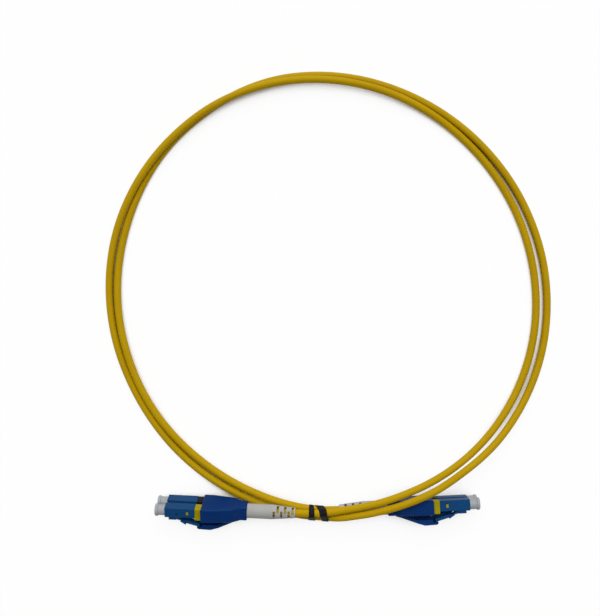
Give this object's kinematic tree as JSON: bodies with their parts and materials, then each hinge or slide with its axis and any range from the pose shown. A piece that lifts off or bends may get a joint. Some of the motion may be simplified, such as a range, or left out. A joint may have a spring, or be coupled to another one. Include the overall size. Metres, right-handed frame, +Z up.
{
  "type": "fibre optic patch cord",
  "caption": "Duplex fibre optic patch cord coiled in a ring and tied, with a blue push latch connector, white boot and dust caps on each end.",
  "frame": {"origin": "middle of the whole box's bottom face, on the table that the cord lies on", "axes": "+Z up from the table, across the coil's plane; +X along the two connectors, from the left one to the right one; +Y from the connectors across the coil"},
  "size_m": [0.1838, 0.188, 0.0159],
  "materials": {
    "cable": "smooth yellow jacket",
    "housing": "dark blue moulded shell",
    "plug": "blue moulded plug",
    "yellow_insert": "yellow moulding",
    "black_insert": "black moulding",
    "cap": "translucent white moulding",
    "boot": "soft white moulding",
    "ceramic": "white zirconia ceramic",
    "metal": "bare metal",
    "brass": "nickel plated brass",
    "fibre": "buffered fibre",
    "tie": "soft black strip"
  },
  "bodies": {
    "cord": {"cable_jacket": "cable", "cable_tie": "tie", "left_plug_body_upper": "plug", "left_rear_insert_upper": "yellow_insert", "left_fibre_upper": "fibre", "left_ferrule_spring_upper": "metal", "left_plug_body_lower": "plug", "left_rear_insert_lower": "black_insert", "left_fibre_lower": "fibre", "left_ferrule_spring_lower": "metal", "left_housing_back": "housing", "left_housing_cover": "housing", "left_crimp_body": "brass", "left_crimp_ring": "metal", "left_boot": "boot", "right_plug_body_upper": "plug", "right_rear_insert_upper": "yellow_insert", "right_fibre_upper": "fibre", "right_ferrule_spring_upper": "metal", "right_plug_body_lower": "plug", "right_rear_insert_lower": "black_insert", "right_fibre_lower": "fibre", "right_ferrule_spring_lower": "metal", "right_housing_back": "housing", "right_housing_cover": "housing", "right_crimp_body": "brass", "right_crimp_ring": "metal", "right_boot": "boot"},
    "left_latch_upper": {"left_latch_arm_upper": "plug"},
    "left_cap_upper": {"left_dust_cap_upper": "cap"},
    "left_ferrule_group_upper": {"left_ferrule_upper": "ceramic", "left_ferrule_flange_upper": "brass"},
    "left_latch_lower": {"left_latch_arm_lower": "plug"},
    "left_cap_lower": {"left_dust_cap_lower": "cap"},
    "left_ferrule_group_lower": {"left_ferrule_lower": "ceramic", "left_ferrule_flange_lower": "brass"},
    "left_trigger_lever": {"left_trigger": "housing"},
    "right_latch_upper": {"right_latch_arm_upper": "plug"},
    "right_cap_upper": {"right_dust_cap_upper": "cap"},
    "right_ferrule_group_upper": {"right_ferrule_upper": "ceramic", "right_ferrule_flange_upper": "brass"},
    "right_latch_lower": {"right_latch_arm_lower": "plug"},
    "right_cap_lower": {"right_dust_cap_lower": "cap"},
    "right_ferrule_group_lower": {"right_ferrule_lower": "ceramic", "right_ferrule_flange_lower": "brass"},
    "right_trigger_lever": {"right_trigger": "housing"}
  },
  "joints": [
    {"name": "left_latch_upper_flex", "type": "hinge", "parent": "cord", "child": "left_latch_upper", "pos_m": [-0.06133, -0.08836, 0.0087], "axis": [-0.0614, -0.3301, 0.9419], "range_deg": [0, 8.5]},
    {"name": "left_cap_upper_slide", "type": "slide", "parent": "cord", "child": "left_cap_upper", "axis": [-0.998, 0.0373, -0.052], "range_m": [0, 0.012]},
    {"name": "left_ferrule_upper_slide", "type": "slide", "parent": "cord", "child": "left_ferrule_group_upper", "axis": [0.998, -0.0373, 0.052], "range_m": [0, 0.0008], "stiffness_N_per_m": 1500, "springref_m": -0.002, "deforming": ["left_ferrule_spring_upper"]},
    {"name": "left_latch_lower_flex", "type": "hinge", "parent": "cord", "child": "left_latch_lower", "pos_m": [-0.06095, -0.0863, 0.00282], "axis": [-0.0614, -0.3301, 0.9419], "range_deg": [0, 8.5]},
    {"name": "left_cap_lower_slide", "type": "slide", "parent": "cord", "child": "left_cap_lower", "axis": [-0.998, 0.0373, -0.052], "range_m": [0, 0.012]},
    {"name": "left_ferrule_lower_slide", "type": "slide", "parent": "cord", "child": "left_ferrule_group_lower", "axis": [0.998, -0.0373, 0.052], "range_m": [0, 0.0008], "stiffness_N_per_m": 1500, "springref_m": -0.002, "deforming": ["left_ferrule_spring_lower"]},
    {"name": "left_trigger_flex", "type": "hinge", "parent": "cord", "child": "left_trigger_lever", "pos_m": [-0.036, -0.08886, 0.00686], "axis": [0.0614, 0.3301, -0.9419], "range_deg": [0, 5], "stiffness_Nm_per_rad": 0.4},
    {"name": "right_latch_upper_flex", "type": "hinge", "parent": "cord", "child": "right_latch_upper", "pos_m": [0.0526, -0.08615, 0.00937], "axis": [0, 0, -1], "range_deg": [0, 8.5]},
    {"name": "right_cap_upper_slide", "type": "slide", "parent": "cord", "child": "right_cap_upper", "axis": [0.9988, 0.0485, 0], "range_m": [0, 0.012]},
    {"name": "right_ferrule_upper_slide", "type": "slide", "parent": "cord", "child": "right_ferrule_group_upper", "axis": [-0.9988, -0.0485, 0], "range_m": [0, 0.0008], "stiffness_N_per_m": 1500, "springref_m": -0.002, "deforming": ["right_ferrule_spring_upper"]},
    {"name": "right_latch_lower_flex", "type": "hinge", "parent": "cord", "child": "right_latch_lower", "pos_m": [0.0526, -0.08615, 0.00313], "axis": [0, 0, -1], "range_deg": [0, 8.5]},
    {"name": "right_cap_lower_slide", "type": "slide", "parent": "cord", "child": "right_cap_lower", "axis": [0.9988, 0.0485, 0], "range_m": [0, 0.012]},
    {"name": "right_ferrule_lower_slide", "type": "slide", "parent": "cord", "child": "right_ferrule_group_lower", "axis": [-0.9988, -0.0485, 0], "range_m": [0, 0.0008], "stiffness_N_per_m": 1500, "springref_m": -0.002, "deforming": ["right_ferrule_spring_lower"]},
    {"name": "right_trigger_flex", "type": "hinge", "parent": "cord", "child": "right_trigger_lever", "pos_m": [0.02746, -0.088, 0.00625], "axis": [0, 0, 1], "range_deg": [0, 5], "stiffness_Nm_per_rad": 0.4}
  ],
  "couplings": [
    {"joint": "left_latch_upper_flex", "follows": "left_trigger_flex", "ratio": 1.7},
    {"joint": "left_latch_lower_flex", "follows": "left_trigger_flex", "ratio": 1.7},
    {"joint": "right_latch_upper_flex", "follows": "right_trigger_flex", "ratio": 1.7},
    {"joint": "right_latch_lower_flex", "follows": "right_trigger_flex", "ratio": 1.7}
  ]
}
